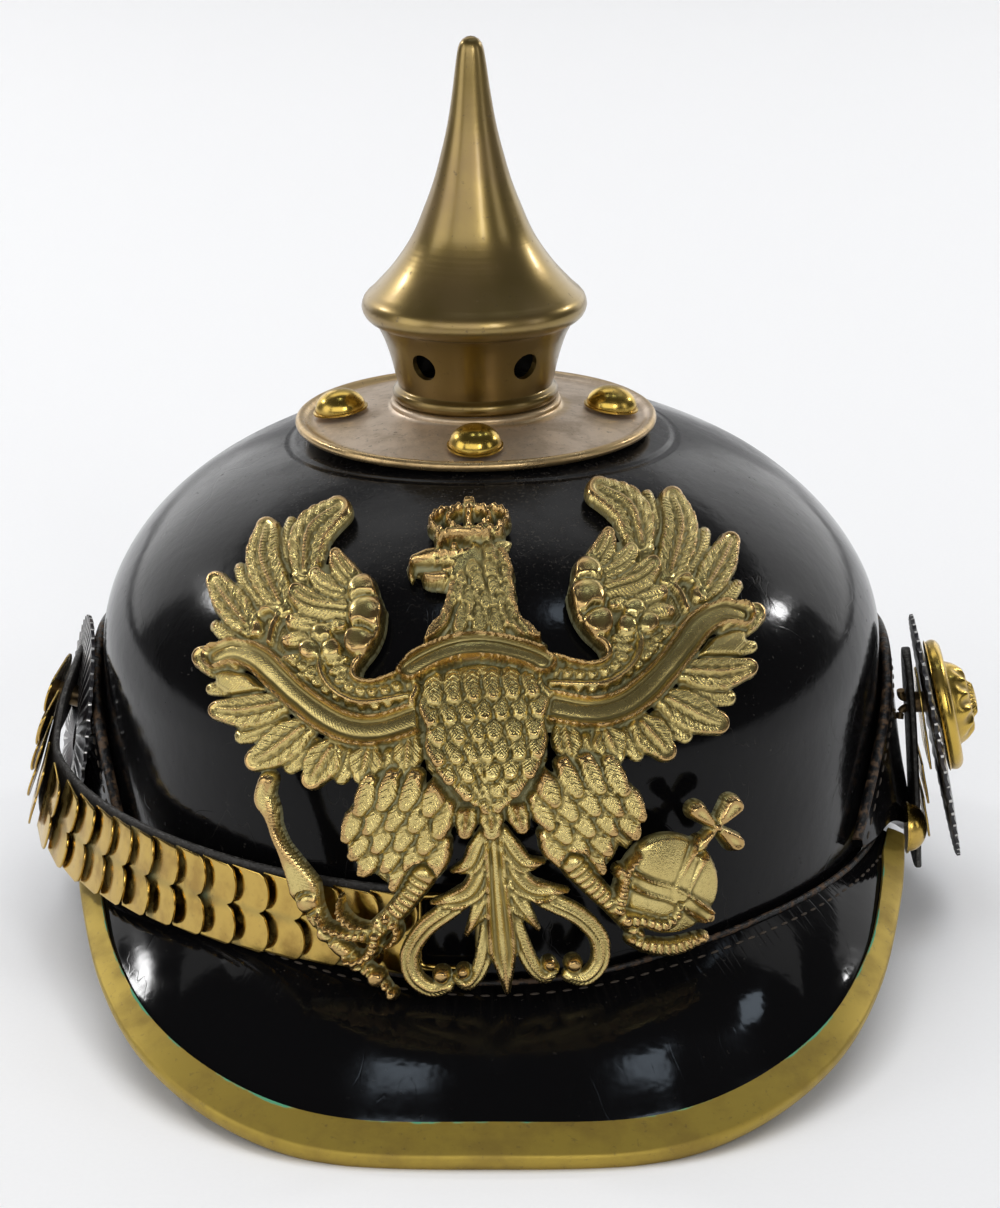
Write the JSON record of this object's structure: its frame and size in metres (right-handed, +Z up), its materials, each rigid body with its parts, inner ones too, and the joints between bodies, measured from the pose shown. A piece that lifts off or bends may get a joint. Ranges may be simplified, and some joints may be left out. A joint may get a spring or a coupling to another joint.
{
  "type": "pickelhaube",
  "caption": "Spiked leather helmet: hollow black crown with front and rear visors, vented brass spike on a round base, pierced eagle front plate, scaled chin strap, cockades and a side rosette.",
  "frame": {"origin": "on the table, under the middle of the helmet's box, where it stands on the edges of its two visors", "axes": "+Z up, -Y towards the front visor, +X towards the side with the rosette"},
  "size_m": [0.215, 0.2908, 0.2006],
  "materials": {
    "black_leather": "black lacquer with fine cracks and scratches",
    "strap_leather": "matt black with worn grey edges",
    "plate_brass": "stamped brass, tarnished in the hollows and worn on the high points",
    "trim_brass": "polished brass with verdigris along the inner edge",
    "scale_brass": "polished brass",
    "dark_brass": "dark toned brass, smooth",
    "black_paint": "black paint, worn to white metal on the crests"
  },
  "bodies": {
    "root": {"crown": "black_leather", "front_visor": "black_leather", "rear_visor": "black_leather", "front_visor_trim": "trim_brass", "trim_stud_left": "trim_brass", "trim_stud_right": "trim_brass", "base_plate": "dark_brass", "spike_neck": "dark_brass", "spike": "dark_brass", "base_stud_front": "trim_brass", "base_stud_right": "trim_brass", "base_stud_back": "trim_brass", "base_stud_left": "trim_brass", "eagle_plate": "plate_brass", "strap_left": "strap_leather", "strap_right": "strap_leather", "chin_scale_left_01": "scale_brass", "chin_scale_left_02": "scale_brass", "chin_scale_left_03": "scale_brass", "chin_scale_left_04": "scale_brass", "chin_scale_left_05": "scale_brass", "chin_scale_left_06": "scale_brass", "chin_scale_left_07": "scale_brass", "chin_scale_left_08": "scale_brass", "chin_scale_left_09": "scale_brass", "chin_scale_left_10": "scale_brass", "chin_scale_left_11": "scale_brass", "chin_scale_left_12": "scale_brass", "chin_scale_left_13": "scale_brass", "chin_scale_left_14": "scale_brass", "chin_scale_left_15": "scale_brass", "chin_scale_left_16": "scale_brass", "chin_scale_left_17": "scale_brass", "chin_scale_left_18": "scale_brass", "chin_scale_right_01": "scale_brass", "chin_scale_right_02": "scale_brass", "chin_scale_right_03": "scale_brass", "strap_buckle": "scale_brass", "cockade_left": "black_paint", "cockade_right": "black_paint", "side_post_left": "trim_brass", "side_post_right": "dark_brass", "rosette_right": "trim_brass"}
  },
  "joints": []
}
